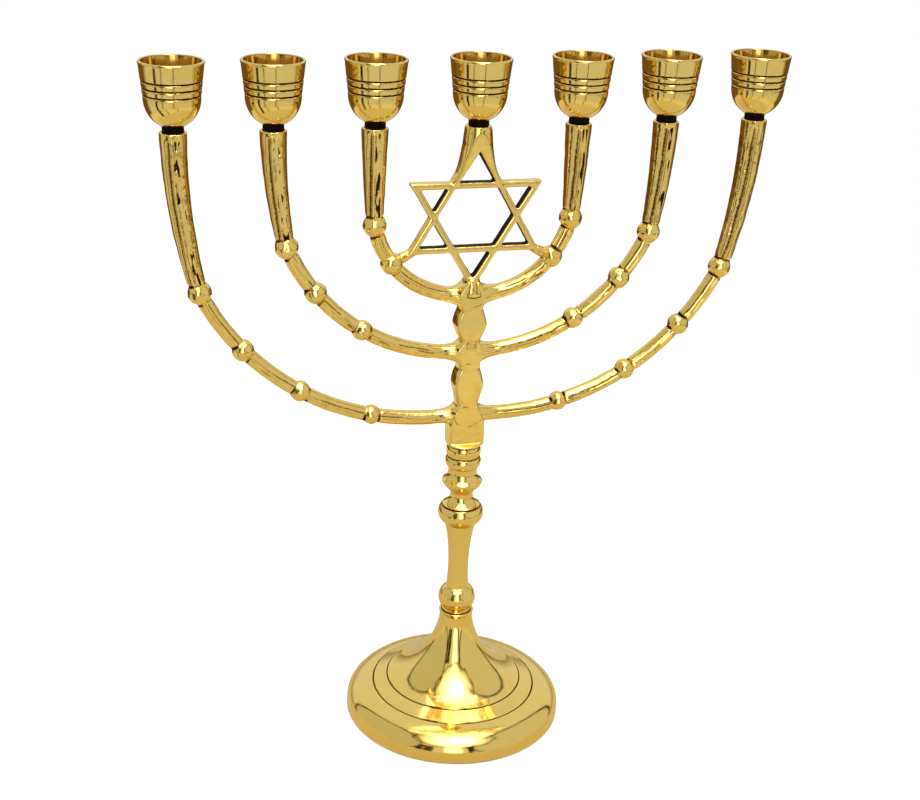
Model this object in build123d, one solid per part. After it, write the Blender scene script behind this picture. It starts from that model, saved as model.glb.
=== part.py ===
from build123d import *
import os
from math import asin, atan, cos, degrees, hypot, radians, sin

# Seven-branched brass menorah with a star above its spine, in millimetres.
# The origin is the middle of the foot's underside, +Z is up, the branches spread along X,
# and +Y points away from the side that faces the viewer.

# Overall sizes
TOTAL_HEIGHT = 300.0        # cup rims above the table
CUP_HEIGHT = 27.0
JOINT_Z = TOTAL_HEIGHT - CUP_HEIGHT     # where each cup stands on its branch
FOOT_RADIUS = 48.8
FOOT_TOP = 50.9
STEM_TOP = 133.0
SPINE_TOP = 205.0
CASTING_HALF_DEPTH = 4.6    # the spine and the branch roots are ground flat front and back

# Cups
CUP_LIP_RADIUS = 12.5
CUP_RIM_RADIUS = 12.35      # outside, at the top of the tapered wall
CUP_RIM_DROP = 1.2          # from the rim down to there
CUP_WAIST_RADIUS = 10.95    # outside, where the wall ends and the bowl begins
CUP_WAIST_DROP = 13.9
CUP_BOWL_DEPTH = 11.8
CUP_NECK_RADIUS = 4.2
CUP_MOUTH_RADIUS = 11.3     # inside, at the rim
CUP_MOUTH_DEPTH = 10.0      # the mouth tapers to the bore over this depth
CANDLE_BORE_RADIUS = 10.0   # takes a three-quarter inch (19 mm) candle
CANDLE_BORE_LENGTH = 6.0
CUP_FLOOR_DEPTH = 4.5       # below the bore
RING_DROP = 7.3             # from the rim down to the first incised ring
RING_STEP = 2.7
RING_DEPTH = 0.4
RING_EDGE = 0.3             # height of a ring's cut above its bottom
SHOULDER = 1.2              # height over which the wall rounds out again below it

# Threaded studs that the cups screw down on: M5, pitch 0.8
STUD_RADIUS = 2.45
STUD_HOLE_RADIUS = 2.5
STUD_ABOVE = 4.8            # six turns of thread inside the cup
STUD_BELOW = 7.0
HOLE_SPARE = 0.5            # the holes are this much deeper than the stud

CUT_SPARE = 1.0             # holes are drilled from this far outside a face

# Branches
TUBE_RADIUS = 3.15
BEAD_RADII = (4.8, 4.6, 4.4, 4.2)   # from the highest bead down
SLEEVE_TOP_RADIUS = 5.4
SLEEVE_FOOT_RADIUS = 3.4
SLEEVE_SECTIONS = 5
ROOT_SECTIONS = 4
ROOT_RADIUS = 5.8
ROOT_FLARE = 13.0           # length over which the tube swells towards the spine
ROOT_INSIDE = 2.0           # how near to the spine's axis the uncut branch reaches
TENON_RADIUS = 1.95
TENON_HOLE_RADIUS = 2.0
TENON_TIP = 2.2             # x of the tenon's end inside the spine
TENON_HEEL = 9.0
TENON_ENTRY = 5.0           # x at which the tenon's height is taken from the branch

# Each right-hand branch: the centre and radius of its arc, then the angle of each bead from
# straight below that centre, from the highest bead down
BRANCHES = {
    "outer": ((15.0, 255.1), 108.5, (64.2, 48.0, 31.8, 14.3)),
    "middle": ((3.9, 256.0), 80.0, (67.3, 50.8, 32.0)),
    "inner": ((3.8, 240.2), 38.8, (79.1, 52.3)),
}

# Distance of each cup from the centre line; the branches are set by hand, so pairs differ a little
CUP_DISTANCES = {
    "outer": {"left": 121.2, "right": 121.2},
    "middle": {"left": 82.8, "right": 81.2},
    "inner": {"left": 42.5, "right": 42.7},
}

# Star
STAR_BAR = 2.4
STAR_HALF_DEPTH = 2.25
STAR_HALF_WIDTH = 25.8      # of each triangle's centre line
UP_BASE_Z = 221.5
UP_APEX_Z = 265.5
DOWN_BASE_Z = 248.5
DOWN_APEX_Z = 206.5
STAR_TENON_LOW_Z = 198.6
STAR_TENON_HIGH_Z = 207.6
SOCKET_FOOT_Z = 247.6
SOCKET_SPAN = 20.0          # more than the socket's width

# Foot fixing: one M8 bolt from below
BOLT_RADIUS = 4.0
BOLT_HOLE_RADIUS = 4.25
TAPPED_HOLE_RADIUS = 4.05
BOLT_HEAD_HEIGHT = 5.3
BOLT_ACROSS_FLATS = 13.0
BOLT_TIP_Z = 64.0
BOLT_TIP_CHAMFER = 0.8
BOLT_HOLE_SPARE = 1.5       # the tapped hole is this much deeper than the bolt
WASHER_RADIUS = 8.0
WASHER_THICKNESS = 1.6
BOSS_FACE_Z = 28.0
SEAT_Z = 49.5               # the stem's collar stands here, inside the foot's mouth
SEAT_RADIUS = 6.6
COLLAR_RADIUS = 6.5

# Stem fixing: one M6 stud between stem and spine
STEM_STUD_RADIUS = 3.0
STEM_STUD_HOLE_RADIUS = 3.05
STEM_STUD_HALF = 9.0

SPAN = 400.0                # more than any width or height of the casting


def save(shape, node):
    """One node's solid in its own file."""
    export_step(shape, f"parts/{node}.step")


def line(*points):
    """Straight edges through (radius, height) points."""
    ends = [Vector(r, 0, z) for r, z in points]
    return [Edge.make_line(a, b) for a, b in zip(ends, ends[1:])]


def curve(*points, **ends):
    """One smooth edge through (radius, height) points."""
    return [Edge.make_spline([Vector(r, 0, z) for r, z in points], **ends)]


def bow(start, middle, end):
    """A circular edge through three (radius, height) points."""
    return [Edge.make_three_point_arc(*[Vector(r, 0, z) for r, z in (start, middle, end)])]


def turned(edges):
    """The solid that a closed outline sweeps about the Z axis."""
    return revolve(Face(Wire(edges)), axis=Axis.Z)


def rod(radius, low, high, x=0.0):
    """An upright cylinder between two heights."""
    return Pos(x, 0, low) * Cylinder(radius, high - low, align=(Align.CENTER, Align.CENTER, Align.MIN))


def cross_rod(radius, start_x, end_x, z):
    """A cylinder along X between two distances from the spine's axis."""
    bar = Cylinder(radius, end_x - start_x, align=(Align.CENTER, Align.CENTER, Align.MIN))
    return Plane(origin=(start_x, 0, z), z_dir=(1, 0, 0)) * bar


def flat_slab():
    """The space between the front and back grinding planes."""
    return Box(SPAN, 2 * CASTING_HALF_DEPTH, SPAN, align=(Align.CENTER, Align.CENTER, Align.MIN))


# ---------------------------------------------------------------- foot and stem

def foot():
    """Spun, stepped and hollow foot with a boss for the bolt."""
    inner_rim = FOOT_RADIUS - 3.2
    outline = (
        line((SEAT_RADIUS, SEAT_Z), (SEAT_RADIUS, FOOT_TOP - 0.5))
        + bow((SEAT_RADIUS, FOOT_TOP - 0.5), (7.2, FOOT_TOP), (7.8, FOOT_TOP - 0.5))
        + curve((7.8, FOOT_TOP - 0.5), (7.45, 47.3), (8.4, 42.3), (10.1, 37.2), (12.6, 32.1),
                (17.3, 25.8), (23.4, 20.4), (30.2, 16.6))
        + line((30.2, 16.6), (30.6, 15.9), (31.0, 16.1), (36.5, 13.5), (36.9, 12.7), (37.3, 13.1))
        + curve((37.3, 13.1), (41.6, 11.9), (45.6, 9.7), (48.1, 6.9), (FOOT_RADIUS, 4.6))
        + line((FOOT_RADIUS, 4.6), (FOOT_RADIUS, 0.7), (FOOT_RADIUS - 0.7, 0), (inner_rim, 0))
        + line((inner_rim, 0), (inner_rim, 5.0))
        + curve((inner_rim, 5.0), (42.0, 8.4), (36.5, 10.4), (29.2, 13.8), (22.0, 18.0), (16.0, 23.3))
        + curve((16.0, 23.3), (12.6, 26.9), (11.0, BOSS_FACE_Z))
        + line((11.0, BOSS_FACE_Z), (BOLT_HOLE_RADIUS, BOSS_FACE_Z), (BOLT_HOLE_RADIUS, SEAT_Z))
        + line((BOLT_HOLE_RADIUS, SEAT_Z), (SEAT_RADIUS, SEAT_Z))
    )
    return turned(outline)


def foot_washer():
    ring = Cylinder(WASHER_RADIUS, WASHER_THICKNESS) - Cylinder(BOLT_HOLE_RADIUS, WASHER_THICKNESS)
    return Pos(0, 0, BOSS_FACE_Z - WASHER_THICKNESS / 2) * ring


def foot_bolt():
    head_top = BOSS_FACE_Z - WASHER_THICKNESS
    hexagon = RegularPolygon(BOLT_ACROSS_FLATS / 2, 6, major_radius=False)
    head = extrude(Pos(0, 0, head_top - BOLT_HEAD_HEIGHT) * hexagon, BOLT_HEAD_HEIGHT)
    shank = chamfer(rod(BOLT_RADIUS, head_top, BOLT_TIP_Z).edges().sort_by(Axis.Z)[-1], BOLT_TIP_CHAMFER)
    return head + shank


def stem():
    """Turned stem: two rings, two knops, a waisted shaft and a ball above a collar."""
    outline = (
        line((0, STEM_TOP), (7.0, STEM_TOP))
        + bow((7.0, STEM_TOP), (7.63, 130.2), (7.0, 127.5))
        + bow((7.0, 127.5), (7.91, 125.1), (6.7, 122.4))
        + curve((6.7, 122.4), (6.36, 119.9), (7.1, 117.7), (8.6, 116.1))
        + line((8.6, 116.1), (8.83, 115.8), (8.83, 114.9), (8.5, 114.5))
        + curve((8.5, 114.5), (6.9, 112.3), (5.4, 110.6), (5.05, 109.4))
        + curve((5.05, 109.4), (5.15, 107.8), (6.5, 105.6), (8.3, 104.2))
        + line((8.3, 104.2), (8.2, 103.7), (8.75, 103.6))
        + bow((8.75, 103.6), (10.08, 100.4), (8.2, 95.9))
        + line((8.2, 95.9), (7.0, 94.8))
        + curve((7.0, 94.8), (5.4, 86.9), (4.77, 80.1), (4.62, 69.8), (5.07, 62.9))
        + bow((5.07, 62.9), (8.35, 57.3), (5.9, 51.9))
        + line((5.9, 51.9), (COLLAR_RADIUS, 51.4), (COLLAR_RADIUS, SEAT_Z), (0, SEAT_Z), (0, STEM_TOP))
    )
    bolt_hole = rod(TAPPED_HOLE_RADIUS, SEAT_Z, BOLT_TIP_Z + BOLT_HOLE_SPARE)
    stud_hole = rod(STEM_STUD_HOLE_RADIUS, STEM_TOP - STEM_STUD_HALF - HOLE_SPARE, STEM_TOP)
    return turned(outline) - bolt_hole - stud_hole


def stem_stud():
    return rod(STEM_STUD_RADIUS, STEM_TOP - STEM_STUD_HALF, STEM_TOP + STEM_STUD_HALF)


# ---------------------------------------------------------------- spine

def spine_body():
    """The cast spine before it is drilled: turned, then ground flat front and back."""
    outline = (
        line((0, STEM_TOP), (7.5, STEM_TOP), (7.9, STEM_TOP + 0.5), (8.0, 141.0))
        + curve((8.0, 141.0), (7.2, 146.5), (4.95, 152.6), (5.6, 156.4), (6.63, 161.6), (5.9, 165.8),
                (5.0, 169.0), (5.3, 173.0), (4.9, 177.5), (4.4, 181.2), (5.6, 184.5), (6.82, 188.7),
                (6.2, 192.0), (5.25, 195.4), (5.6, 199.0), (5.0, 203.0), (2.6, SPINE_TOP),
                tangents=[(0, 0, 1), (-1, 0, 0)])
        + line((2.6, SPINE_TOP), (0, SPINE_TOP), (0, STEM_TOP))
    )
    return turned(outline) & flat_slab()


def spine():
    """The spine with its stud hole, a pair of holes at each tier and one for the star."""
    body = spine_body() - rod(STEM_STUD_HOLE_RADIUS, STEM_TOP, STEM_TOP + STEM_STUD_HALF + HOLE_SPARE)
    for tier in BRANCHES:
        hole = cross_rod(TENON_HOLE_RADIUS, TENON_TIP - HOLE_SPARE / 2, TENON_HEEL, root_z(tier))
        body = body - hole - mirror(hole, about=Plane.YZ)
    return body - star_tenon(TENON_HOLE_RADIUS, HOLE_SPARE / 2)


# ---------------------------------------------------------------- branches

def arc_point(tier, angle):
    """The middle of the branch at an angle from straight below its arc's centre."""
    (centre_x, centre_z), radius, _ = BRANCHES[tier]
    return Vector(centre_x + radius * sin(radians(angle)), 0, centre_z - radius * cos(radians(angle)))


def arc_angle(tier, x):
    """The angle at which the branch's middle line is x from the spine's axis."""
    (centre_x, _), radius, _ = BRANCHES[tier]
    return degrees(asin((x - centre_x) / radius))


def root_z(tier):
    """The height at which a branch's tenon enters the spine."""
    return arc_point(tier, arc_angle(tier, TENON_ENTRY)).Z


def section(tier, angle, radius):
    """A round cross-section of the branch."""
    along = (cos(radians(angle)), 0, sin(radians(angle)))
    return Plane(origin=arc_point(tier, angle), x_dir=(0, 1, 0), z_dir=along) * Circle(radius)


def tube(tier, start, end):
    """A stretch of plain round branch between two angles."""
    (centre_x, centre_z), _, _ = BRANCHES[tier]
    hub = Axis((centre_x, 0, centre_z), (0, -1, 0))
    return revolve(section(tier, start, TUBE_RADIUS), axis=hub, revolution_arc=end - start)


def root(tier):
    """The branch's end, which swells towards the spine and is flat front and back."""
    near = arc_angle(tier, ROOT_INSIDE)
    far = arc_angle(tier, ROOT_INSIDE + ROOT_FLARE)
    sections = []
    for i in range(ROOT_SECTIONS + 1):
        share = i / ROOT_SECTIONS
        swell = (1 - share) ** 3 * (ROOT_RADIUS - TUBE_RADIUS)
        sections.append(section(tier, near + share * (far - near), TUBE_RADIUS + swell))
    return loft(sections) & flat_slab()


def beads(tier):
    """A branch's beads."""
    _, _, angles = BRANCHES[tier]
    return [Pos(arc_point(tier, angle)) * Sphere(r) for angle, r in zip(angles, BEAD_RADII)]


def sleeve(tier, cup_x):
    """The tapered sleeve above the highest bead, which bends upright under its cup."""
    bead = arc_point(tier, BRANCHES[tier][2][0])
    lean = 2 * atan((cup_x - bead.X) / (JOINT_Z - bead.Z))
    radius = (JOINT_Z - bead.Z) / sin(lean)
    sections = []
    for i in range(SLEEVE_SECTIONS + 1):
        share = i / SLEEVE_SECTIONS
        turn = lean * share
        middle = (cup_x - radius * (1 - cos(turn)), 0, JOINT_Z - radius * sin(turn))
        width = SLEEVE_TOP_RADIUS + share * (SLEEVE_FOOT_RADIUS - SLEEVE_TOP_RADIUS)
        plane = Plane(origin=middle, x_dir=(0, 1, 0), z_dir=(sin(turn), 0, cos(turn)))
        sections.append(plane * Circle(width))
    return loft(sections[::-1])


def bent_tube(tier):
    """The branch from its swollen root to its highest bead, without the beads."""
    return root(tier) + tube(tier, arc_angle(tier, ROOT_INSIDE + ROOT_FLARE), BRANCHES[tier][2][0])


def branch(tier, cup_x):
    """One right-hand branch: tube with beads, sleeve, tenon and the hole for its cup's stud."""
    solid = bent_tube(tier) + sleeve(tier, cup_x)
    for bead in beads(tier):
        solid = solid + bead
    solid = solid - spine_body()
    solid = solid + cross_rod(TENON_RADIUS, TENON_TIP, TENON_HEEL, root_z(tier))
    return solid - rod(STUD_HOLE_RADIUS, JOINT_Z - STUD_BELOW - HOLE_SPARE, JOINT_Z + CUT_SPARE, cup_x)


# ---------------------------------------------------------------- star

def triangle(base_z, apex_z, offset):
    """A solid triangle whose edges lie offset outside the star's centre line."""
    height = abs(apex_z - base_z)
    up = 1 if apex_z > base_z else -1
    inradius = STAR_HALF_WIDTH * height / (STAR_HALF_WIDTH + hypot(STAR_HALF_WIDTH, height))
    grow = (inradius + offset) / inradius
    middle = base_z + up * inradius
    low, high = middle - up * inradius * grow, middle + up * (height - inradius) * grow
    corners = [(-STAR_HALF_WIDTH * grow, low), (STAR_HALF_WIDTH * grow, low), (0, high)]
    face = Plane.XZ * Polygon(*corners, align=None)
    return extrude(face, STAR_HALF_DEPTH, both=True)


def star_ring(base_z, apex_z):
    """One of the star's two triangles, as a frame of flat bars."""
    hole = scale(triangle(base_z, apex_z, -STAR_BAR / 2), by=(1, 3, 1))
    return triangle(base_z, apex_z, STAR_BAR / 2) - hole


def centre_socket():
    """The centre cup's socket: round at the top, wedge-shaped where it meets the star."""
    outline = (
        line((0, JOINT_Z), (SLEEVE_TOP_RADIUS, JOINT_Z))
        + curve((SLEEVE_TOP_RADIUS, JOINT_Z), (5.9, 267.5), (6.6, 262.0), (8.2, 254.5),
                (10.9, SOCKET_FOOT_Z))
        + line((10.9, SOCKET_FOOT_Z), (0, SOCKET_FOOT_Z), (0, JOINT_Z))
    )
    side = Plane.YZ * Polygon((-6.0, JOINT_Z), (6.0, JOINT_Z), (2.4, SOCKET_FOOT_Z),
                              (-2.4, SOCKET_FOOT_Z), align=None)
    notch = scale(triangle(UP_BASE_Z, UP_APEX_Z, -STAR_BAR / 2), by=(1, 4, 1))
    return (turned(outline) & extrude(side, SOCKET_SPAN, both=True)) - notch


def star_tenon(radius, extra):
    """The round peg under the star, or the hole for it."""
    return rod(radius, STAR_TENON_LOW_Z - extra, STAR_TENON_HIGH_Z)


def taper(start, start_radius, end, end_radius):
    """A cone between two points."""
    axis = end - start
    cone = Cone(start_radius, end_radius, axis.length, align=(Align.CENTER, Align.CENTER, Align.MIN))
    return Plane(origin=start, z_dir=axis) * cone


def star_lobe():
    """One of the two rounded legs on which the star stands, the right-hand one."""
    ankle, knee, hip = Vector(1.3, 0, 202.5), Vector(1.6, 0, 208.4), Vector(3.6, 0, 213.0)
    return taper(ankle, 3.6, knee, 1.7) + taper(knee, 1.7, hip, 1.3)


def star_lug():
    """The bridge from the star's lower right tip to the inner branch's lower bead."""
    bead = arc_point("inner", BRANCHES["inner"][2][1])
    return taper(Vector(STAR_HALF_WIDTH - 2.0, 0, UP_BASE_Z + 0.2), 1.5, bead, 2.7)


def star():
    """Star with the centre cup's socket on top and its post below, one casting."""
    solid = star_ring(UP_BASE_Z, UP_APEX_Z) + star_ring(DOWN_BASE_Z, DOWN_APEX_Z)
    solid = solid + centre_socket()
    for piece in (star_lobe(), star_lug()):
        solid = solid + piece + mirror(piece, about=Plane.YZ)
    solid = solid - spine_body()
    for piece in (bent_tube("inner"), beads("inner")[1]):
        solid = solid - piece - mirror(piece, about=Plane.YZ)
    solid = solid + star_tenon(TENON_RADIUS, 0)
    return solid - rod(STUD_HOLE_RADIUS, JOINT_Z - STUD_BELOW - HOLE_SPARE, JOINT_Z + CUT_SPARE)


# ---------------------------------------------------------------- cups

def bowl(reach, depth, top, shares):
    """Points of half an ellipse below top, each at a share of its reach."""
    return [(reach * share, top - depth * (1 - share ** 2) ** 0.5) for share in shares]


def wall_point(drop, depth=0.0):
    """A point of the cup's tapered wall, drop below the rim and depth inside its surface."""
    slope = (CUP_RIM_RADIUS - CUP_WAIST_RADIUS) / (CUP_WAIST_DROP - CUP_RIM_DROP)
    return (CUP_RIM_RADIUS - (drop - CUP_RIM_DROP) * slope - depth, TOTAL_HEIGHT - drop)


def incised_wall():
    """The outside from the waist up to the lip: three rings with rounded shoulders below them."""
    edges = []
    for i in (2, 1, 0):
        drop = RING_DROP + i * RING_STEP
        above = drop - RING_STEP + SHOULDER if i else CUP_RIM_DROP
        groove = wall_point(drop, RING_DEPTH)
        cut = wall_point(drop - RING_EDGE)
        edges += bow(wall_point(drop + SHOULDER), wall_point(drop + SHOULDER / 3, RING_DEPTH / 3), groove)
        edges += line(groove, cut, wall_point(above))
    return edges


def lip():
    """From the wall's top over the rounded rim and down the tapered mouth to the bore."""
    rim = TOTAL_HEIGHT
    outer_edge, inner_edge = CUP_LIP_RADIUS - 0.25, CUP_MOUTH_RADIUS + 0.2
    return (
        bow(wall_point(CUP_RIM_DROP), (CUP_LIP_RADIUS, rim - 0.5), (outer_edge, rim))
        + line((outer_edge, rim), (inner_edge, rim))
        + bow((inner_edge, rim), (CUP_MOUTH_RADIUS + 0.05, rim - 0.1), (CUP_MOUTH_RADIUS, rim - 0.3))
        + line((CUP_MOUTH_RADIUS, rim - 0.3), (CANDLE_BORE_RADIUS, rim - CUP_MOUTH_DEPTH))
    )


def cup(x):
    """Turned candle cup: tapered wall with three incised rings, round bowl and short neck."""
    waist_z = TOTAL_HEIGHT - CUP_WAIST_DROP
    bore_top = TOTAL_HEIGHT - CUP_MOUTH_DEPTH
    bore_low = bore_top - CANDLE_BORE_LENGTH
    neck_z = waist_z - CUP_BOWL_DEPTH * (1 - (CUP_NECK_RADIUS / CUP_WAIST_RADIUS) ** 2) ** 0.5
    outside = bowl(CUP_WAIST_RADIUS, CUP_BOWL_DEPTH, waist_z, (0.52, 0.68, 0.82, 0.92, 0.98, 1.0))
    inside = bowl(CANDLE_BORE_RADIUS, CUP_FLOOR_DEPTH, bore_low, (1.0, 0.95, 0.85, 0.7, 0.5, 0.25, 0))
    outline = (
        line((0, JOINT_Z), (CUP_NECK_RADIUS, JOINT_Z), (CUP_NECK_RADIUS, neck_z))
        + curve((CUP_NECK_RADIUS, neck_z), *outside)
        + incised_wall()
        + lip()
        + line((CANDLE_BORE_RADIUS, bore_top), (CANDLE_BORE_RADIUS, bore_low))
        + curve(*inside)
        + line((0, bore_low - CUP_FLOOR_DEPTH), (0, JOINT_Z))
    )
    solid = turned(outline) - rod(STUD_HOLE_RADIUS, JOINT_Z, JOINT_Z + STUD_ABOVE + HOLE_SPARE)
    return Pos(x, 0, 0) * solid


def cup_stud(x):
    return rod(STUD_RADIUS, JOINT_Z - STUD_BELOW, JOINT_Z + STUD_ABOVE, x)


# ---------------------------------------------------------------- all nodes

os.makedirs("parts", exist_ok=True)

save(foot(), "foot")
save(foot_washer(), "foot_washer")
save(foot_bolt(), "foot_bolt")
save(stem(), "stem")
save(stem_stud(), "stem_stud")
save(spine(), "spine")
save(star(), "star")
save(cup(0.0), "cup_centre")
save(cup_stud(0.0), "stud_centre")

for tier_name, sides in CUP_DISTANCES.items():
    for side_name, distance in sides.items():
        arm = branch(tier_name, distance)
        sign = 1 if side_name == "right" else -1
        save(arm if sign == 1 else mirror(arm, about=Plane.YZ), f"arm_{tier_name}_{side_name}")
        save(cup(sign * distance), f"cup_{tier_name}_{side_name}")
        save(cup_stud(sign * distance), f"stud_{tier_name}_{side_name}")
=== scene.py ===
import math

import bmesh
import bpy
import numpy as np
from mathutils import Matrix, Vector, noise


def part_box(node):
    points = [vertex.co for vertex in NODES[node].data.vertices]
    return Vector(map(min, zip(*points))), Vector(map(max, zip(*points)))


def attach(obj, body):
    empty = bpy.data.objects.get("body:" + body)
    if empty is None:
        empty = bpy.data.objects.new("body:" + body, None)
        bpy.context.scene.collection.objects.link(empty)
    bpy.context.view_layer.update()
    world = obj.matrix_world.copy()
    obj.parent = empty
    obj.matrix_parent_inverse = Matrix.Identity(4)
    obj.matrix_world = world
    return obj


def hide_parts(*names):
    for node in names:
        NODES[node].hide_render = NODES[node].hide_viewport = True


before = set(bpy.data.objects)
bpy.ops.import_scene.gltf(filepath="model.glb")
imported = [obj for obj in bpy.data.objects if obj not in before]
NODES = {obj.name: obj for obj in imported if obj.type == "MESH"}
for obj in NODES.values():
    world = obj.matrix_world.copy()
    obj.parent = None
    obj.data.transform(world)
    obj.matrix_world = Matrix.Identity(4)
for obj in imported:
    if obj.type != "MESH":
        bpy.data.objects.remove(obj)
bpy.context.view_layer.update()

MM = 0.001

# ---------------------------------------------------------------- camera

# The photograph's viewpoint: degrees round from the front, up and of roll, then millimetres
VIEW_AZIMUTH = -16.99
VIEW_ELEVATION = 22.75
VIEW_ROLL = 2.6
VIEW_DISTANCE = 670.3
VIEW_TARGET = Vector((-2.6, 0.0, 153.5))
VIEW_LENS = 61.06           # on a 36 mm wide sensor


def add_camera():
    azimuth, elevation = math.radians(VIEW_AZIMUTH), math.radians(VIEW_ELEVATION)
    flat = math.cos(elevation)
    back = Vector((math.sin(azimuth) * flat, -math.cos(azimuth) * flat, math.sin(elevation)))
    level = Vector((math.cos(azimuth), math.sin(azimuth), 0.0))
    upright = back.cross(level)
    roll = math.radians(VIEW_ROLL)
    right = level * math.cos(roll) + upright * math.sin(roll)
    up = upright * math.cos(roll) - level * math.sin(roll)
    turn = Matrix((right, up, back)).transposed().to_4x4()
    data = bpy.data.cameras.new("camera")
    data.lens = VIEW_LENS
    data.sensor_width = 36.0
    data.clip_start = 0.01
    camera = bpy.data.objects.new("camera", data)
    camera.matrix_world = Matrix.Translation((VIEW_TARGET + back * VIEW_DISTANCE) * MM) @ turn
    bpy.context.scene.collection.objects.link(camera)
    bpy.context.scene.camera = camera


# ---------------------------------------------------------------- node graphs

class Graph:
    """Short names for building shader nodes. Every value is a number, a colour or a socket."""

    def __init__(self, tree):
        self.tree = tree
        tree.nodes.clear()

    def node(self, kind, **settings):
        made = self.tree.nodes.new("ShaderNode" + kind)
        for name, value in settings.items():
            setattr(made, name, value)
        return made

    def put(self, value, socket):
        if isinstance(value, bpy.types.NodeSocket):
            self.tree.links.new(value, socket)
        elif value is not None:
            socket.default_value = value

    def math(self, operation, *values):
        made = self.node("Math", operation=operation)
        for value, socket in zip(values, made.inputs):
            self.put(value, socket)
        return made.outputs[0]

    def add(self, a, b):
        return self.math("ADD", a, b)

    def sub(self, a, b):
        return self.math("SUBTRACT", a, b)

    def mul(self, a, b):
        return self.math("MULTIPLY", a, b)

    def larger(self, a, b):
        return self.math("MAXIMUM", a, b)

    def ease(self, value, low, high, start=0.0, end=1.0):
        """value from low to high, mapped smoothly to start to end."""
        made = self.node("MapRange", interpolation_type="SMOOTHSTEP")
        for number, socket in zip((value, low, high, start, end), made.inputs):
            self.put(number, socket)
        return made.outputs[0]

    def near(self, value, middle, half, soft):
        """1 within half of the middle, falling to 0 over soft."""
        away = self.math("ABSOLUTE", self.sub(value, middle))
        return self.ease(away, half, half + soft, 1.0, 0.0)

    def blend(self, share, a, b):
        made = self.node("Mix", data_type="RGBA")
        self.put(share, made.inputs["Factor"])
        self.put(a, made.inputs[6])
        self.put(b, made.inputs[7])
        return made.outputs[2]

    def point(self):
        """The surface point in millimetres, in the object's own frame."""
        made = self.node("VectorMath", operation="SCALE")
        self.put(self.node("TexCoord").outputs["Object"], made.inputs[0])
        made.inputs["Scale"].default_value = 1 / MM
        return made.outputs[0]

    def split(self, vector):
        made = self.node("SeparateXYZ")
        self.put(vector, made.inputs[0])
        return made.outputs

    def radius(self, x, y):
        return self.math("SQRT", self.add(self.mul(x, x), self.mul(y, y)))

    def stretch(self, vector, sizes):
        made = self.node("VectorMath", operation="MULTIPLY")
        self.put(vector, made.inputs[0])
        made.inputs[1].default_value = sizes
        return made.outputs[0]

    def noise(self, vector, scale, detail=2.0, rough=0.5):
        made = self.node("TexNoise", noise_dimensions="3D")
        self.put(vector, made.inputs["Vector"])
        made.inputs["Scale"].default_value = scale
        made.inputs["Detail"].default_value = detail
        made.inputs["Roughness"].default_value = rough
        return made.outputs["Fac"]

    def attribute(self, name):
        return self.node("Attribute", attribute_name=name).outputs["Fac"]

    def bump(self, height, depth_mm, below=None):
        made = self.node("Bump")
        made.inputs["Strength"].default_value = 1.0
        made.inputs["Distance"].default_value = depth_mm * MM
        self.put(height, made.inputs["Height"])
        self.put(below, made.inputs["Normal"])
        return made.outputs[0]


# ---------------------------------------------------------------- materials

GOLD = (0.89, 0.64, 0.175, 1)
GOLD_PALE = (0.91, 0.69, 0.235, 1)
GOLD_DEEP = (0.81, 0.51, 0.10, 1)
BROWN = (0.26, 0.10, 0.012, 1)
PATINA_AND_SHADE = (0.006, 0.003, 0.001, 1)


def brass(name, grime_and_shade, roughness, marks=None, waves=0.0, tint=0.35):
    """Polished brass with smears and marks. As the dark share rises to 1 the gold turns brown, then
    black: patina in real cast marks, painted shade in grooves, creases, hollows and under the cups.
    The dark share and marks are functions of the graph and the point in millimetres; waves is
    the depth of soft unevenness, and tint how much the gold varies."""
    material = bpy.data.materials.new(name)
    material.use_nodes = True
    g = Graph(material.node_tree)
    here = g.point()
    tone = g.ease(g.noise(here, 0.05, 3.0), 0.35, 0.65)
    gold = g.blend(g.mul(tone, tint), GOLD, GOLD_PALE)
    tarnish = g.ease(g.noise(here, 0.16, 4.0, 0.65), 0.50, 0.74)
    gold = g.blend(g.mul(tarnish, tint), gold, GOLD_DEEP)
    dirt_and_shade = grime_and_shade(g, here)
    smear = g.noise(g.stretch(here, (1.0, 1.0, 0.45)), 0.30, 5.0, 0.7)
    grain = g.noise(here, 2.5, 3.0, 0.6)
    rough = g.add(g.ease(smear, 0.35, 0.75, roughness, roughness + 0.09), g.mul(grain, 0.03))
    height = g.mul(g.noise(here, 0.22, 2.0), waves)
    height = g.add(height, g.mul(grain, 0.0025))
    if marks:
        height = g.add(height, marks(g, here))
    height = g.sub(height, g.mul(dirt_and_shade, 0.05))

    shader = g.node("BsdfPrincipled")
    # The brown and the black stand for patina in cast marks and for painted shade in grooves, creases,
    # hollows and under the cups
    film_and_shade, crust_and_shade = g.ease(dirt_and_shade, 0.0, 0.5), g.ease(dirt_and_shade, 0.4, 0.9)
    g.put(g.blend(crust_and_shade, g.blend(film_and_shade, gold, BROWN), PATINA_AND_SHADE), shader.inputs["Base Color"])
    g.put(g.sub(1.0, crust_and_shade), shader.inputs["Metallic"])
    g.put(g.add(rough, g.mul(crust_and_shade, 0.35)), shader.inputs["Roughness"])
    shader.inputs["Specular IOR Level"].default_value = 0.04
    g.put(g.bump(height, 1.0), shader.inputs["Normal"])
    g.put(shader.outputs[0], g.node("OutputMaterial").inputs["Surface"])
    return material


def at_heights(*bands):
    """Painted shade in rings: each band is a height, half its width and how dark it is."""
    def grime_and_shade(g, here):
        z = g.split(here)[2]
        ragged = g.add(z, g.mul(g.sub(g.noise(here, 0.9, 3.0), 0.5), 0.5))
        total = 0.0
        for height, half, dark in bands:
            total = g.larger(total, g.mul(g.near(ragged, height, half, 0.35), dark))
        return total
    return grime_and_shade


# Painted shade in rings: round the cup's neck under its bowl, and in its three turned grooves
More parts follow.
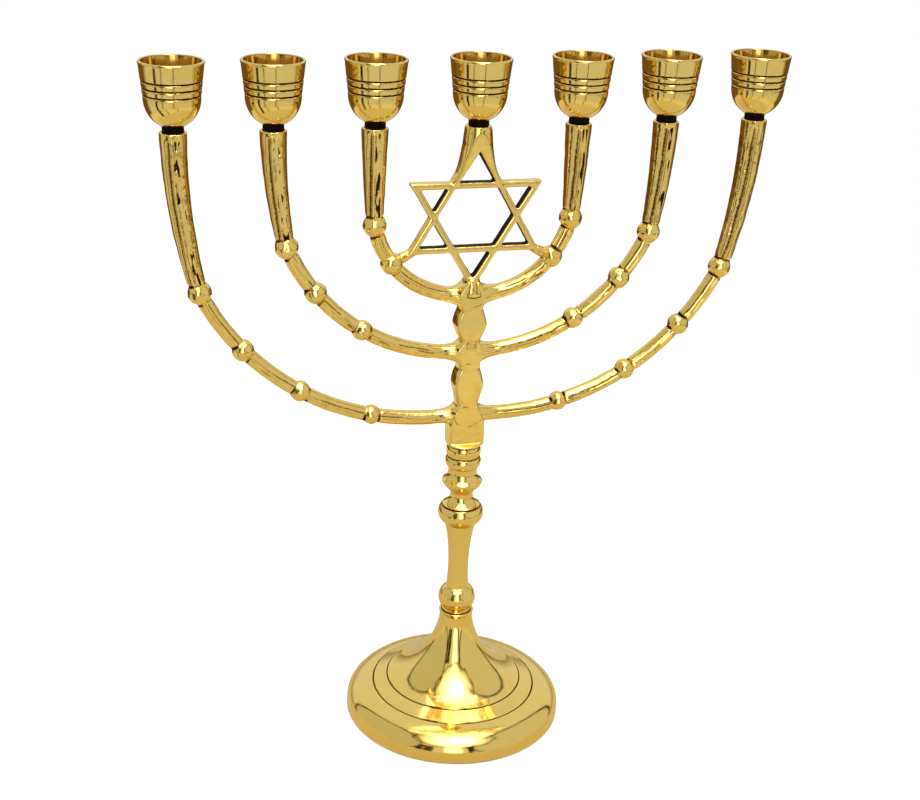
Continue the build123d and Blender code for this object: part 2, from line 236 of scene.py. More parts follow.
CUP_BANDS = ((273.9, 1.3, 1.0), (292.75, 0.17, 0.9), (290.05, 0.17, 0.9), (287.35, 0.17, 0.9))
# Painted shade in rings at the stem's joints and turned lines
STEM_BANDS = ((133.0, 0.2, 0.8), (127.5, 0.12, 0.7), (103.8, 0.1, 0.6), (51.0, 0.1, 0.7),
              (95.2, 0.2, 0.5))
# Painted shade in a ring where the stud sits between cup and sleeve
STUD_BANDS = ((273.0, 0.5, 0.8),)
FOOT_LINES = (30.6, 36.9)
# The middle of a cup's wall, as height, radius there and how fast the radius grows with height
CUP_WALL = (300.0, 11.75, 0.09)
CUP_WALL_BELOW = (281.0, 8.6, 0.75)
CUP_FLOOR = 279.0
# How brown the painted shade inside a cup's bowl is
CUP_INSIDE_SHADE = 0.24


def cup_painted_shade(g, here):
    """Painted shade: black in the turned grooves and round the neck under the bowl, and a brown layer
    inside the bowl.
    """
    x, y, z = g.split(here)
    nearest = 1e3
    for name in NODES:
        if name.startswith("cup_"):
            low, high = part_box(name)
            off = g.sub(x, (low.x + high.x) / 2 / MM)
            nearest = g.math("MINIMUM", nearest, g.add(g.mul(off, off), g.mul(y, y)))
    above, below = (
        g.add(g.mul(z, slope), radius - slope * height)
        for height, radius, slope in (CUP_WALL, CUP_WALL_BELOW)
    )
    within = g.sub(g.math("MINIMUM", above, below), g.math("SQRT", nearest))
    inside = g.mul(g.ease(within, -0.05, 0.1), g.ease(z, CUP_FLOOR, CUP_FLOOR + 0.4))
    return g.larger(at_heights(*CUP_BANDS)(g, here), g.mul(inside, CUP_INSIDE_SHADE))


def lathe_marks(g, here):
    """Fine rings left by turning and buffing."""
    z = g.split(here)[2]
    rings = g.node("CombineXYZ")
    g.put(g.mul(z, 5.0), rings.inputs[2])
    return g.mul(g.noise(rings.outputs[0], 1.0, 3.0, 0.7), 0.0045)


def foot_marks(g, here):
    """The same rings on the foot, which runs outwards more than up."""
    x, y, z = g.split(here)
    rings = g.node("CombineXYZ")
    g.put(g.mul(g.radius(x, y), 4.0), rings.inputs[0])
    g.put(g.mul(z, 2.0), rings.inputs[2])
    return g.mul(g.noise(rings.outputs[0], 1.0, 3.0, 0.7), 0.004)


def foot_painted_shade(g, here):
    """Painted shade in the two turned lines."""
    x, y = g.split(here)[:2]
    radius = g.radius(x, y)
    inner, outer = (g.near(radius, line, 0.08, 0.2) for line in FOOT_LINES)
    return g.mul(g.larger(inner, outer), 0.8)


def cast_grime_and_shade(g, here):
    """Patina and painted shade where the mesh says, with a ragged edge and a brown rim round it."""
    ragged = g.ease(g.noise(here, 1.3, 4.0, 0.65), 0.3, 0.7, 0.72, 1.28)
    return g.ease(g.mul(g.attribute("grime_and_shade"), ragged), 0.08, 1.0)


def steel(name):
    """Zinc-plated steel with a faint brushed grain."""
    material = bpy.data.materials.new(name)
    material.use_nodes = True
    g = Graph(material.node_tree)
    here = g.point()
    cloud = g.noise(here, 0.25, 4.0, 0.6)
    shader = g.node("BsdfPrincipled")
    shader.inputs["Metallic"].default_value = 1.0
    g.put(g.blend(cloud, (0.50, 0.50, 0.48, 1), (0.66, 0.65, 0.60, 1)), shader.inputs["Base Color"])
    g.put(g.ease(cloud, 0.3, 0.7, 0.28, 0.45), shader.inputs["Roughness"])
    grain = g.noise(g.stretch(here, (3.0, 3.0, 0.4)), 1.5, 3.0, 0.6)
    g.put(g.bump(grain, 0.01), shader.inputs["Normal"])
    g.put(shader.outputs[0], g.node("OutputMaterial").inputs["Surface"])
    return material


# ---------------------------------------------------------------- cast pieces

SEGMENTS = 72
STEP = 0.36                 # between rings along a casting
FRONT = -90.0               # where a ring's angle faces the viewer
JOINT_Z = 273.0
SPINE_FOOT = 133.0
SPINE_TOP = 203.6
HALF_DEPTH = 4.6
TUBE = 3.15
BEADS = (4.8, 4.6, 4.4, 4.2)
ROOT_INSIDE = 2.0
ROOT_FLARE = 13.0
ROOT_WIDER, ROOT_DEEPER = 2.65, 3.2
ROOT_SINK = 0.04            # how far a root's ground face lies behind the spine's
SLEEVE_FOOT, SLEEVE_TOP = 3.4, 5.4
BRANCHES = {
    "outer": ((15.0, 255.1), 108.5, (64.2, 48.0, 31.8, 14.3)),
    "middle": ((3.9, 256.0), 80.0, (67.3, 50.8, 32.0)),
    "inner": ((3.8, 240.2), 38.8, (79.1, 52.3)),
}


def lump(points, size, seed):
    """Smooth noise, about -1 to 1, at points in millimetres."""
    shift = Vector((seed * 31.7, seed * 17.3, seed * 11.9))
    flat = points.reshape(-1, 3) / size
    values = [noise.noise(Vector(p) + shift) for p in flat.tolist()]
    return np.array(values).reshape(points.shape[:-1])


def add_grime_and_shade(mesh, values):
    """Says where the patina and the painted shade go, 0 to 1, for each point of a mesh."""
    layer = mesh.attributes.new("grime_and_shade", "FLOAT", "POINT")
    layer.data.foreach_set("value", values.astype(np.float32))


def rings_to_piece(name, rings, grime_and_shade):
    """A closed mesh through rings of points in millimetres, and where it is dark."""
    count, around = rings.shape[:2]
    verts = (rings.reshape(-1, 3) * MM).tolist()
    ends = [rings[0].mean(0) * MM, rings[-1].mean(0) * MM]
    verts += [e.tolist() for e in ends]
    faces = []
    for i in range(count - 1):
        for j in range(around):
            k = (j + 1) % around
            faces.append((i * around + j, i * around + k, (i + 1) * around + k, (i + 1) * around + j))
    low, high = count * around, count * around + 1
    last = (count - 1) * around
    for j in range(around):
        k = (j + 1) % around
        faces.append((k, j, low))
        faces.append((last + j, last + k, high))
    mesh = bpy.data.meshes.new(name)
    mesh.from_pydata(verts, [], faces)
    add_grime_and_shade(mesh, np.append(grime_and_shade.reshape(-1), (grime_and_shade[0].max(), grime_and_shade[-1].max())))
    mesh.shade_smooth()
    piece = bpy.data.objects.new(name, mesh)
    bpy.context.scene.collection.objects.link(piece)
    return piece


def smooth_step(value, low, high):
    share = np.clip((value - low) / (high - low), 0, 1)
    return share * share * (3 - 2 * share)


def arm_line(tier, cup_x):
    """The branch's middle line: arrays of x, z, heading and which share of the sleeve is passed."""
    (centre_x, centre_z), radius, angles = BRANCHES[tier]
    start = math.asin((ROOT_INSIDE - centre_x) / radius)
    end = math.radians(angles[0])
    turn = np.arange(start, end, STEP / radius)
    x, z = centre_x + radius * np.sin(turn), centre_z - radius * np.cos(turn)
    bead_x, bead_z = centre_x + radius * math.sin(end), centre_z - radius * math.cos(end)
    lean = 2 * math.atan((cup_x - bead_x) / (JOINT_Z - bead_z))
    bend = (JOINT_Z - bead_z) / math.sin(lean)
    rest = np.linspace(lean, 0, int(bend * lean / STEP))
    x = np.append(x, cup_x - bend * (1 - np.cos(rest)))
    z = np.append(z, JOINT_Z - bend * np.sin(rest))
    heading = np.append(turn, math.pi / 2 - rest)
    sleeve = np.append(np.zeros(len(turn)), np.linspace(0.001, 1, len(rest)))
    spread = int(3.0 / STEP)
    kernel = np.ones(2 * spread + 1) / (2 * spread + 1)
    heading = np.convolve(np.pad(heading, spread, mode="edge"), kernel, mode="valid")
    return x, z, heading, sleeve


def ring_angles():
    """Angles of a ring's points, closest together where the casting faces the viewer."""
    fine = np.arange(FRONT - 78, FRONT + 78, 2.4)
    coarse = np.linspace(FRONT + 78, FRONT - 78 + 360, 30, endpoint=False)
    return np.append(fine, coarse)


def merged(a, b, blend):
    """The larger of two radii, with a small fillet where they meet."""
    near = np.clip(blend - np.abs(a - b), 0, None) / blend
    return np.maximum(a, b) + near * near * blend * 0.25 * (b > 0)


def trough(value, middle, half):
    """1 on a line, falling off like a bell on both sides."""
    return np.exp(-((value - middle) / half) ** 2)


SLEEVE_SEAM = {"left": 2.7, "right": -1.9}      # round from the sleeve's front


def arm_marks(along, around, sleeve, side, seed):
    """Casting marks in the branch's own terms, millimetres along it and round its front: a wavering
    seam, a ridge and a fold beside it, then long pits in a hollow, which is also tinted faintly brown
    as painted shade. All are smaller on the tube than on the sleeve. Returns the dark share and the
    relief."""
    place = np.stack([along + 0 * around, 0 * around, 0 * around], -1)
    waver = 0.35 * lump(place, 9.0, seed + 3) + 0.15 * lump(place, 2.5, seed + 4)
    start = np.clip(along / 30.0, 0, 1)
    on = sleeve > 0
    middle = np.where(on, SLEEVE_SEAM[side], start - 2.0) + waver
    inward = -np.sign(middle)
    size = np.where(on, 1.0, 0.55)
    broken = smooth_step(lump(place, 13.0, seed + 5), -0.30, 0.10)
    strength = np.where(on, 0.80 + 0.20 * broken, 0.8 * broken)
    seam = trough(around, middle, 1.05 * size) * strength
    core = trough(around, middle, 0.30 * size) * strength
    ridge = trough(around, middle + 1.35 * size * inward, 0.45 * size) * np.where(on, 1.0, 0.6 * broken)
    fold = trough(around, middle + 2.15 * size * inward, 0.32 * size)
    fold = fold * smooth_step(lump(place, 7.0, seed + 9), -0.3, 0.1)
    cells = np.stack([along / 6.0 + 0 * around, around / 1.15, 0 * around], -1)
    pits = smooth_step(lump(cells, 1.0, seed + 6) + 0.2 * lump(cells, 0.35, seed + 7), 0.12, 0.50)
    zone = smooth_step(1.7 - np.abs(around - middle - 3.3 * size * inward), 0, 0.7)
    patch = smooth_step(lump(place, 16.0, seed + 8), -0.25, 0.15)
    pits = pits * zone * np.where(on, 1.0, 0.55 * patch)
    hollow = trough(around, middle + 3.3 * size * inward, 1.3) * on
    dark = np.maximum(np.maximum(0.5 * seam, 0.85 * core), np.maximum(0.9 * pits, 0.45 * fold))
    # Painted shade: the hollow beside the seam is tinted faintly brown
    dark = np.maximum(dark, 0.10 * hollow)
    relief = 0.36 * size * ridge - 0.42 * size * seam - 0.30 * pits - 0.16 * fold - 0.26 * hollow
    return np.clip(dark, 0, 1), relief


# The sleeve's top as (how far inside its side, how far below its top, how dark): a rounded edge,
# a narrow rim and a countersink round the cup's neck, darkened as painted shade under the cup's bowl
DISH = ((0.0, 0.55, 0.0), (0.12, 0.2, 0.0), (0.4, 0.0, 0.0), (0.75, 0.0, 0.15), (1.1, 0.5, 0.6),
        (2.2, 1.3, 1.0), (3.0, 1.3, 1.0))

def add_dish(rings, grime_and_shade, cup_x, z, seed):
    """The rings that finish a sleeve at its top."""
    body = z < JOINT_Z - DISH[0][1] - 0.1
    rings, grime_and_shade = rings[body], grime_and_shade[body]
    rim = rings[-1]
    reach = np.hypot(rim[:, 0] - cup_x, rim[:, 1])
    unit_x, unit_y = (rim[:, 0] - cup_x) / reach, rim[:, 1] / reach
    ragged = 0.25 * np.abs(lump(rim, 1.6, seed + 11))
    for inward, drop, dark in DISH:
        size = reach - inward
        height = JOINT_Z - drop - ragged * (drop < 0.3)
        ring = np.stack([cup_x + unit_x * size, unit_y * size, height], -1)
        rings = np.append(rings, ring[None], 0)
        grime_and_shade = np.append(grime_and_shade, np.full((1, len(size)), dark), 0)
    return rings, grime_and_shade


def arm(node, tier, side, cup_x, seed):
    """A cast branch: swollen root, beaded tube and faceted sleeve, filed and polished by hand."""
    x, z, heading, sleeve = arm_line(tier, cup_x)
    along = np.append(0, np.cumsum(np.hypot(np.diff(x), np.diff(z))))
    from_root = x - ROOT_INSIDE
    swell = np.clip(1 - from_root / ROOT_FLARE, 0, 1) ** 3 * (sleeve == 0)
    tube = np.where(sleeve > 0, SLEEVE_FOOT + (SLEEVE_TOP - SLEEVE_FOOT) * sleeve ** 0.85, TUBE)
    width, depth = tube + ROOT_WIDER * swell, tube + ROOT_DEEPER * swell
    (centre_x, centre_z), radius, angles = BRANCHES[tier]
    cuff, ball = np.zeros_like(x), np.zeros_like(x)
    for angle, size in zip(angles, BEADS):
        bead_x = centre_x + radius * math.sin(math.radians(angle))
        bead_z = centre_z - radius * math.cos(math.radians(angle))
        away = np.hypot(x - bead_x, z - bead_z)
        inside = np.sqrt(np.clip(size * size - away * away, 0, None))
        width, depth = merged(width, inside, 0.5), merged(depth, inside, 0.5)
        edge = math.sqrt(size * size - TUBE * TUBE)
        cuff = np.maximum(cuff, trough(away, edge + 0.5, 0.7))
        ball = np.maximum(ball, smooth_step(edge + 0.6 - away, 0, 0.8))

    turn = np.radians(ring_angles())[None, :]
    signed = (np.degrees(turn) - FRONT + 180) % 360 - 180
    to_flat = np.radians(np.abs((np.abs(signed) + 21) % 42 - 21))
    facet = np.where(sleeve > 0, 0.5, 0.15)[:, None] * (1 - 0.8 * ball[:, None])
    shape = (1 + facet * (1 / np.cos(to_flat) - 1.035)) * (1 - 0.05 * cuff[:, None])
    square = 1 + 0.35 * swell[:, None] * np.abs(np.sin(2 * turn)) ** 1.5
    out = width[:, None] * np.cos(turn) * shape * square
    across = depth[:, None] * np.sin(turn) * shape * square
    ground = np.where(swell > 0, HALF_DEPTH - ROOT_SINK, np.inf)[:, None]
    across = np.clip(across, -ground, ground)
    normal_x, normal_z = np.sin(heading)[:, None], -np.cos(heading)[:, None]
    rings = np.stack([x[:, None] + out * normal_x, across, z[:, None] + out * normal_z], -1)

    around = np.radians(signed) * tube[:, None]
    dark, relief = arm_marks(along[:, None], around, sleeve[:, None], side, seed)
    clear = (1 - 0.85 * ball[:, None]) * (1 - swell[:, None]) ** 2
    clear = clear * (1 - smooth_step(sleeve, 0.94, 0.975))[:, None]
    bumps = 0.15 * lump(rings, 7.0, seed) + (0.07 + 0.20 * ball[:, None]) * lump(rings, 3.0, seed + 1)
    fine = 0.025 * lump(rings, 1.1, seed + 2)
    fade = 1 - smooth_step(z, JOINT_Z - 1.6, JOINT_Z - 0.2)[:, None]
    hub = 1 - smooth_step(swell, 0.15, 0.5)[:, None]
    push = (bumps + fine) * fade * hub + relief * clear
    direction = np.stack([np.cos(turn) * normal_x, np.sin(turn) + 0 * width[:, None],
                          np.cos(turn) * normal_z], -1)
    rings = rings + direction * push[..., None]
    # Painted shade in the pinch where each bead meets the tube, heavier on one side of the tube
    upper = np.clip(0.62 - 0.5 * np.cos(turn) * (1 if side == "right" else -1), 0.15, 1)
    notch = cuff[:, None] * upper * (0.75 + 1.2 * lump(rings, 2.8, seed + 4))
    grime_and_shade = np.clip(np.maximum(dark * clear, notch), 0, 1)

    rings, grime_and_shade = add_dish(rings, grime_and_shade, cup_x, z, seed)
    if side == "left":
        rings = rings[:, ::-1] * np.array((-1, 1, 1))
        grime_and_shade = grime_and_shade[:, ::-1]
    piece = rings_to_piece(node + "_cast", rings, grime_and_shade)
    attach(piece, "base")
    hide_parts(node)
    return piece


SPINE_POINTS = (
    (133.0, 7.5), (133.5, 7.9), (135.4, 8.0), (141.0, 8.0), (143.5, 7.85), (146.5, 7.2), (149.6, 5.9),
    (152.6, 4.95), (156.4, 5.6), (161.6, 6.63), (165.8, 5.9), (169.0, 5.0), (173.0, 5.3),
    (177.5, 4.9), (181.2, 4.4), (184.5, 5.6), (188.7, 6.82), (192.0, 6.2), (195.4, 5.25),
    (199.0, 5.6), (201.5, 5.0), (203.2, 3.4), (203.6, 1.0),
)
COLLAR_TOP = 134.9          # the ground flats run out between these two heights
COLLAR_LOW = 133.6
COLLAR_BULGE = 3.4          # how far the round collar stands in front of the flats
LOBE_POWER = 3.2            # 2 is a round section, more is squarer
EDGE_POWER = 36.0           # how sharp the edge of a flat is
ROOT_HEIGHTS = (147.1, 176.0, 201.4)


def through(points, at):
    """A smooth curve through (place, value) points, read at many places."""
    place, value = np.array(points, float).T
    slope = np.gradient(value, place)
    i = np.clip(np.searchsorted(place, at) - 1, 0, len(place) - 2)
    span = place[i + 1] - place[i]
    t = np.clip((at - place[i]) / span, 0, 1)
    return ((2 * t ** 3 - 3 * t ** 2 + 1) * value[i] + (t ** 3 - 2 * t ** 2 + t) * span * slope[i]
            + (3 * t ** 2 - 2 * t ** 3) * value[i + 1] + (t ** 3 - t ** 2) * span * slope[i + 1])


def spine():
    """The cast spine, rounded at its sides and ground flat front and back."""
    z = np.append(np.arange(SPINE_FOOT, SPINE_TOP, STEP / 1.5), SPINE_TOP)
    radius = through(SPINE_POINTS, z)
    turn = np.radians(np.arange(2 * SEGMENTS) * 180 / SEGMENTS)[None, :]
    run_out = smooth_step(z, COLLAR_TOP, COLLAR_LOW)
    flat = HALF_DEPTH + COLLAR_BULGE * run_out
    to_flat = flat[:, None] / np.maximum(np.abs(np.sin(turn)), 1e-3)
    power = 2 + (LOBE_POWER - 2) * (1 - run_out[:, None])
    rounded = np.abs(np.cos(turn)) ** power + np.abs(np.sin(turn)) ** power
    lobe = radius[:, None] * rounded ** (-1 / power)
    reach = (lobe ** -EDGE_POWER + to_flat ** -EDGE_POWER) ** (-1 / EDGE_POWER)
    rings = np.stack([reach * np.cos(turn), reach * np.sin(turn), z[:, None] + 0 * reach], -1)
    side = np.abs(np.cos(turn)) ** 2
    push = (0.14 * lump(rings, 6.0, 41) + 0.05 * lump(rings, 2.0, 42)) * (0.25 + 0.75 * side)
    push = push * smooth_step(z, SPINE_FOOT, SPINE_FOOT + 2)[:, None]
    grime_and_shade = np.zeros_like(reach)
    for number, height in enumerate(ROOT_HEIGHTS):
        away = np.hypot(rings[..., 0] / 6.4, (rings[..., 2] - height - 0.4) / 4.6)
        line = trough(away + 0.09 * lump(rings, 3.2, 50 + number), 1.0, 0.045)
        line = line * smooth_step(lump(rings, 4.0, 60 + number), -0.30, 0.05)
        # Painted shade in the crease above each root, at the spine's sides
        crease = trough(rings[..., 2] + 0.5 * lump(rings, 2.5, 70 + number), height + 4.2, 0.30)
        crease = crease * smooth_step(np.abs(rings[..., 0]), 3.2, 4.6)
        grime_and_shade = np.maximum(grime_and_shade, np.maximum(0.62 * line, crease))
    push = push - 0.13 * grime_and_shade
    # Painted shade in a ring at the spine's foot, where it meets the stem
    grime_and_shade = np.maximum(grime_and_shade, trough(z, SPINE_FOOT, 0.35)[:, None] * 0.9 + 0 * reach)
    direction = np.stack([np.cos(turn) + 0 * reach, np.sin(turn) + 0 * reach, 0 * reach], -1)
    rings = rings + direction * push[..., None]
    piece = rings_to_piece("spine_cast", rings, np.clip(grime_and_shade, 0, 1))
    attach(piece, "base")
    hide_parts("spine")
    return piece


STAR_VOXEL = 0.40
STAR_SHRINK = 0.10          # smoothing takes this off, so it is put back
# Post under the star: height, half width and half depth
STAR_POST = ((199.6, 5.0, 4.2), (201.0, 4.7, 5.1), (202.6, 4.2, 5.4), (204.0, 3.6, 5.3),
             (206.0, 3.0, 4.8), (208.0, 2.7, 3.9), (209.2, 2.1, 3.0), (209.8, 1.0, 2.0))


def star():
    """The star with its socket and post, its edges rounded by casting and buffing."""
    turn = np.radians(np.arange(0, 360, 7.5))
    fuller = (np.abs(np.cos(turn)) ** 3 + np.abs(np.sin(turn)) ** 3) ** (-1 / 3)
    circle = np.stack([fuller * np.cos(turn), fuller * np.sin(turn)], -1)
    rings = np.array([[(w * x, d * y, z) for x, y in circle] for z, w, d in STAR_POST])
    post = rings_to_piece("star_post", rings, 0 * rings[..., 0])
    shape = bmesh.new()
    shape.from_mesh(NODES["star"].data)
    shape.from_mesh(post.data)
    whole = bpy.data.meshes.new("star_whole")
    shape.to_mesh(whole)
    shape.free()
    bpy.data.objects.remove(post)
    piece = bpy.data.objects.new("star_cast", whole)
    bpy.context.scene.collection.objects.link(piece)
    remesh = piece.modifiers.new("remesh", "REMESH")
    remesh.mode = "VOXEL"
    remesh.voxel_size = STAR_VOXEL * MM
    soften = piece.modifiers.new("soften", "SMOOTH")
    soften.factor = 0.5
    soften.iterations = 9
    finer = piece.modifiers.new("finer", "SUBSURF")
    finer.levels = finer.render_levels = 1
    graph = bpy.context.evaluated_depsgraph_get()
    mesh = bpy.data.meshes.new_from_object(piece.evaluated_get(graph))
    piece.modifiers.clear()
    piece.data = mesh
    points = np.zeros(len(mesh.vertices) * 3, np.float32)
    normals = np.zeros(len(mesh.vertices) * 3, np.float32)
    mesh.vertices.foreach_get("co", points)
    mesh.vertices.foreach_get("normal", normals)
    points, normals = points.reshape(-1, 3) / MM, normals.reshape(-1, 3)
    push = STAR_SHRINK + 0.08 * lump(points, 5.0, 61) + 0.035 * lump(points, 1.8, 62)
    push = push * (points[:, 2] < JOINT_Z - 1)
    points = points + normals * push[:, None]
    mesh.vertices.foreach_set("co", (points * MM).astype(np.float32).reshape(-1))
    add_grime_and_shade(mesh, star_walls_and_shade(points, normals))
    mesh.shade_smooth()
    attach(piece, "base")
    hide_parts("star")
    return piece


def in_triangle(x, z, base_z, apex_z, half_width):
    """True where a point lies inside one of the star's triangles."""
    rise = (z - base_z) / (apex_z - base_z)
    return (rise > 0) & (np.abs(x) < half_width * (1 - rise))


def star_walls_and_shade(points, normals):
    """The walls of the star's openings are made black, and the creases round its foot and beside its
    post get painted shade.
    """
    x, z = points[:, 0], points[:, 2]
    ahead = points + normals * np.array((2.6, 0, 2.6))
    inside = np.zeros(len(points), bool)
    for base_z, apex_z in ((221.5, 265.5), (248.5, 206.5)):
        inside |= in_triangle(ahead[:, 0], ahead[:, 2], base_z, apex_z, 25.8)
    wall = smooth_step(1 - np.abs(normals[:, 1]), 0.40, 0.68)
    # Painted shade on side-facing surfaces low on the star, near the spine
    low = smooth_step(207.0 - z, 0, 2.0) * smooth_step(np.abs(normals[:, 0]), 0.45, 0.8)
    # Painted shade in the crease where the post meets the spine
    smile = trough(z, 201.3 + 0.06 * x ** 2, 0.28) * (np.abs(x) < 4)
    trunk = smooth_step(z, 202.2, 203.2) * smooth_step(208.4 - z, 0, 1.2)
    # Painted shade in the creases beside the post, and a painted dark line down its front right of the
    # middle
    creases = np.maximum(0.9 * trough(np.abs(x), 3.0, 0.45), 0.6 * trough(x, 1.0, 0.30)) * trunk
    hollows = np.maximum(np.maximum(0.85 * low, 0.9 * smile), creases)
    return np.clip(np.maximum(wall * inside * 0.95, hollows), 0, 1)


# ---------------------------------------------------------------- studio

FLOOR_RADIUS = 0.56
# Dark gaps over the table, in degrees: middle, half width and soft edge, between two heights
TABLE_GAPS = [(-71.0, 4.5, 1.0), (-45.0, 1.3, 0.6), (0.5, 1.2, 0.6)]
TABLE_SPAN = (-62.0, -12.0)
TENT_GAPS = [(-42.5, 8.0, 0.8, -9.0, 36.0), (4.5, 2.0, 0.6, -9.0, 42.0)]
BOARDS = ((-94.0, 44.0, 0.62), (60.0, 52.0, 0.70))      # middle, half width, brightness
BOARD_HEIGHT = (27.0, 38.0)                             # middle, half height
TABLE_LIGHT, TENT_LIGHT = 0.70, 0.80
GLOW_DIRECTION = Vector((-0.06, -0.40, 0.91)).normalized()


def add_floor():
    """A pale disc that catches the shadows. In the metal only its middle shows, then the tent."""
    mesh = bpy.data.meshes.new("floor")
    around = 128
    corners = [(FLOOR_RADIUS * math.cos(2 * math.pi * i / around),
                FLOOR_RADIUS * math.sin(2 * math.pi * i / around), -0.0002) for i in range(around)]
    mesh.from_pydata(corners, [], [tuple(range(around))])
    floor = bpy.data.objects.new("floor", mesh)
    bpy.context.scene.collection.objects.link(floor)
    material = bpy.data.materials.new("floor")
    material.use_nodes = True
    g = Graph(material.node_tree)
    shader = g.node("BsdfPrincipled")
    shader.inputs["Base Color"].default_value = (0.90, 0.90, 0.89, 1)
    shader.inputs["Roughness"].default_value = 0.9
    shader.inputs["Specular IOR Level"].default_value = 0.0
    shader.inputs["Emission Color"].default_value = (1, 1, 1, 1)
    shader.inputs["Emission Strength"].default_value = 0.30
    mirrored = g.node("BsdfDiffuse")
    x, y = g.split(g.point())[:2]
    radius = g.radius(x, y)
    azimuth = g.mul(g.math("ARCTAN2", x, g.mul(y, -1.0)), 180 / math.pi)
    stripes = 0.0
    for middle, half, soft in TABLE_GAPS:
        stripes = g.larger(stripes, g.near(azimuth, middle, half, soft))
    stripes = g.mul(stripes, g.ease(radius, 290.0, 310.0))
    shade = g.blend(g.ease(radius, 260.0, 380.0), (0.54, 0.49, 0.36, 1), (0.66, 0.61, 0.44, 1))
    g.put(g.blend(g.mul(stripes, 0.95), shade, (0, 0, 0, 1)), mirrored.inputs["Color"])
    fading = g.node("MixShader")
    g.put(g.ease(radius, 460.0, 520.0), fading.inputs[0])
    g.put(mirrored.outputs[0], fading.inputs[1])
    g.put(g.node("BsdfTransparent").outputs[0], fading.inputs[2])
    choose = g.node("MixShader")
    g.put(g.node("LightPath").outputs["Is Camera Ray"], choose.inputs[0])
    g.put(fading.outputs[0], choose.inputs[1])
    g.put(shader.outputs[0], choose.inputs[2])
    g.put(choose.outputs[0], g.node("OutputMaterial").inputs["Surface"])
    mesh.materials.append(material)


def add_softbox(name, place, aim, size, radiance):
    """A rectangular light; radiance is how bright its face looks."""
    data = bpy.data.lights.new(name, "AREA")
    data.shape = "RECTANGLE"
    data.size, data.size_y = size
    data.energy = radiance * math.pi * size[0] * size[1]
    data.color = (1.0, 0.985, 0.95)
    lamp = bpy.data.objects.new(name, data)
    lamp.location = place
    lamp.rotation_euler = (Vector(place) - Vector(aim)).to_track_quat("Z", "Y").to_euler()
    lamp.visible_camera = False
    bpy.context.scene.collection.objects.link(lamp)


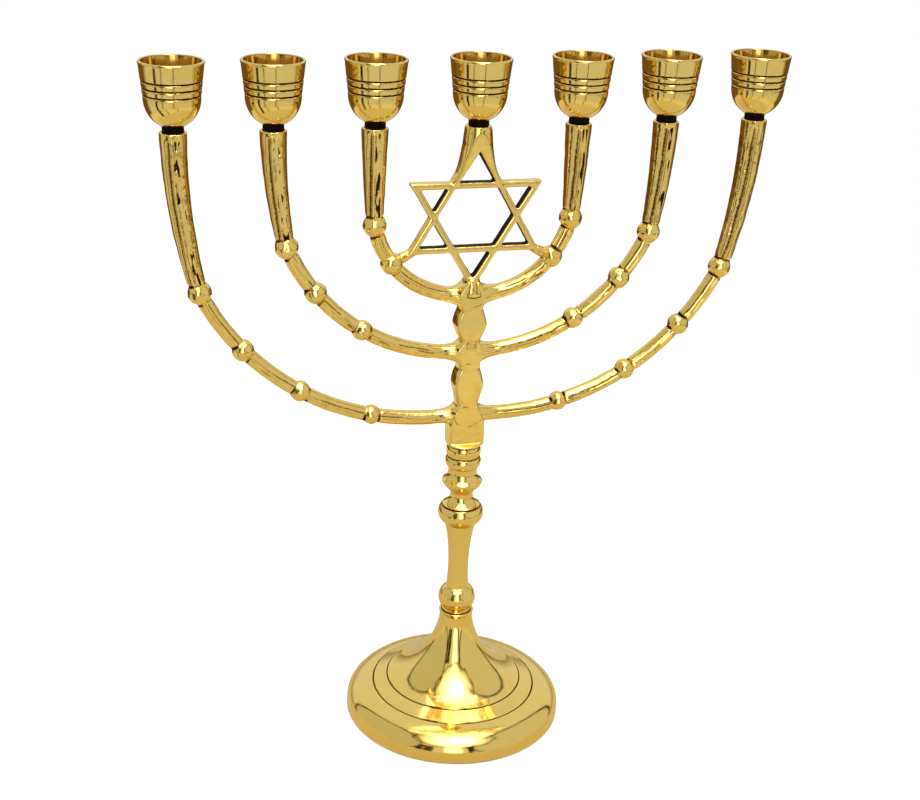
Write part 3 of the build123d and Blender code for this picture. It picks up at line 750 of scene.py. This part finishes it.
def add_studio():
    """A pale tent with two oval boards and dark gaps, seen only in the metal, and softboxes.
    Degrees round from the front, and up, say where each thing stands."""
    world = bpy.data.worlds.new("studio")
    bpy.context.scene.world = world
    world.use_nodes = True
    g = Graph(world.node_tree)
    ray = g.node("TexCoord").outputs["Generated"]
    x, y, z = g.split(ray)
    azimuth = g.mul(g.math("ARCTAN2", x, g.mul(y, -1.0)), 180 / math.pi)
    elevation = g.mul(g.math("ARCSINE", z), 180 / math.pi)
    uneven = g.sub(g.noise(ray, 5.0, 3.0), 0.5)

    def band(middle, half, soft, low, high):
        """1 in an upright band between two heights."""
        height, rise = (low + high) / 2, (high - low) / 2
        return g.mul(g.near(azimuth, middle, half, soft), g.near(elevation, height, rise, 1.5))

    def oval(middle, half, height, rise):
        """0 at the oval's middle, 1 on its edge."""
        across = g.math("POWER", g.math("ABSOLUTE", g.mul(g.sub(azimuth, middle), 1 / half)), 2.6)
        upward = g.math("POWER", g.math("ABSOLUTE", g.mul(g.sub(elevation, height), 1 / rise)), 2.6)
        return g.math("POWER", g.add(across, upward), 1 / 2.6)

    table = TABLE_LIGHT
    tent = g.ease(elevation, -10.5, -8.5, 0.0, TENT_LIGHT)
    light = g.add(g.mul(g.ease(elevation, -12.0, -10.0, 1.0, 0.0), table), tent)
    side = g.math("ABSOLUTE", g.add(azimuth, 17.0))
    behind = g.mul(g.ease(side, 88.0, 112.0), g.ease(elevation, -8.0, 14.0, 1.0, 0.0))
    behind = g.mul(behind, g.ease(elevation, -75.0, -45.0))
    light = g.mul(light, g.sub(1.0, g.mul(behind, 0.76)))
    for middle, half, brightness in BOARDS:
        edge = g.add(oval(middle, half, *BOARD_HEIGHT), g.mul(uneven, 0.03))
        light = g.mul(light, g.ease(edge, 1.03, 1.06))
        light = g.add(light, g.mul(g.ease(edge, 0.965, 0.99, 1.0, 0.0), brightness))
    gaps = 0.0
    for gap in [(*gap, *TABLE_SPAN) for gap in TABLE_GAPS] + TENT_GAPS:
        gaps = g.larger(gaps, band(*gap))
    light = g.mul(light, g.sub(1.0, g.mul(gaps, 0.97)))
    light = g.add(light, g.mul(band(-44.0, 1.0, 0.6, -9.0, 30.0), 0.4))
    light = g.add(light, g.mul(band(-13.0, 7.0, 3.0, -6.0, 46.0), 2.2))
    toward = g.node("VectorMath", operation="DOT_PRODUCT")
    g.put(ray, toward.inputs[0])
    toward.inputs[1].default_value = GLOW_DIRECTION
    away = g.mul(g.math("ARCCOSINE", toward.outputs["Value"]), 180 / math.pi)
    ragged = g.add(away, g.mul(uneven, 9.0))
    rim = g.mul(g.ease(ragged, 27.0, 28.0), g.ease(ragged, 29.0, 30.5, 1.0, 0.0))
    light = g.mul(light, g.sub(1.0, g.mul(rim, 0.9)))
    light = g.add(light, g.ease(away, 4.0, 28.0, 4.0, 0.0))
    warm = g.node("CombineColor")
    g.put(light, warm.inputs[0])
    g.put(g.mul(light, g.ease(light, 0.0, 0.62, 0.45, 1.0)), warm.inputs[1])
    g.put(g.mul(light, g.ease(light, 0.05, 0.75, 0.0, 1.0)), warm.inputs[2])
    shell = g.node("Background")
    g.put(warm.outputs[0], shell.inputs["Color"])
    backdrop = g.node("Background")
    backdrop.inputs["Color"].default_value = (1, 1, 1, 1)
    choose = g.node("MixShader")
    g.put(g.node("LightPath").outputs["Is Camera Ray"], choose.inputs[0])
    g.put(shell.outputs[0], choose.inputs[1])
    g.put(backdrop.outputs[0], choose.inputs[2])
    g.put(choose.outputs[0], g.node("OutputWorld").inputs["Surface"])
    add_softbox("softbox_overhead", (0.03, 0.02, 1.15), (0, 0, 0.1), (0.80, 0.60), 1.9)
    add_softbox("softbox_front", (0.06, -0.42, 0.98), (0, 0, 0.15), (0.22, 0.22), 9.0)


# ---------------------------------------------------------------- making

add_camera()
add_studio()
add_floor()

cast = brass("cast_brass_look", cast_grime_and_shade, 0.085, waves=0.03, tint=0.5)
cup_look = brass("cup_look", cup_painted_shade, 0.07, lathe_marks)
stem_look = brass("stem_look", at_heights(*STEM_BANDS), 0.07, lathe_marks)
foot_look = brass("foot_look", foot_painted_shade, 0.06, foot_marks, tint=0.25)
stud_look = brass("stud_look", at_heights(*STUD_BANDS), 0.25, lathe_marks)
steel_look = steel("steel_look")

LOOKS = {"cup": cup_look, "stem": stem_look, "foot": foot_look, "stud": stud_look}
for node, obj in NODES.items():
    look = steel_look if node in ("foot_bolt", "foot_washer", "stem_stud") else None
    look = look or LOOKS.get(node.split("_")[0], cast)
    obj.material_slots[0].material = look

cast_pieces = [spine(), star()]
seed = 1
for tier in BRANCHES:
    for side, sign in (("left", -1), ("right", 1)):
        low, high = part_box(f"cup_{tier}_{side}")
        cup_x = sign * (low.x + high.x) / 2 / MM
        cast_pieces.append(arm(f"arm_{tier}_{side}", tier, side, cup_x, seed))
        seed += 10
for piece in cast_pieces:
    piece.data.materials.clear()
    piece.data.materials.append(cast)

bpy.context.scene.view_settings.view_transform = "Standard"
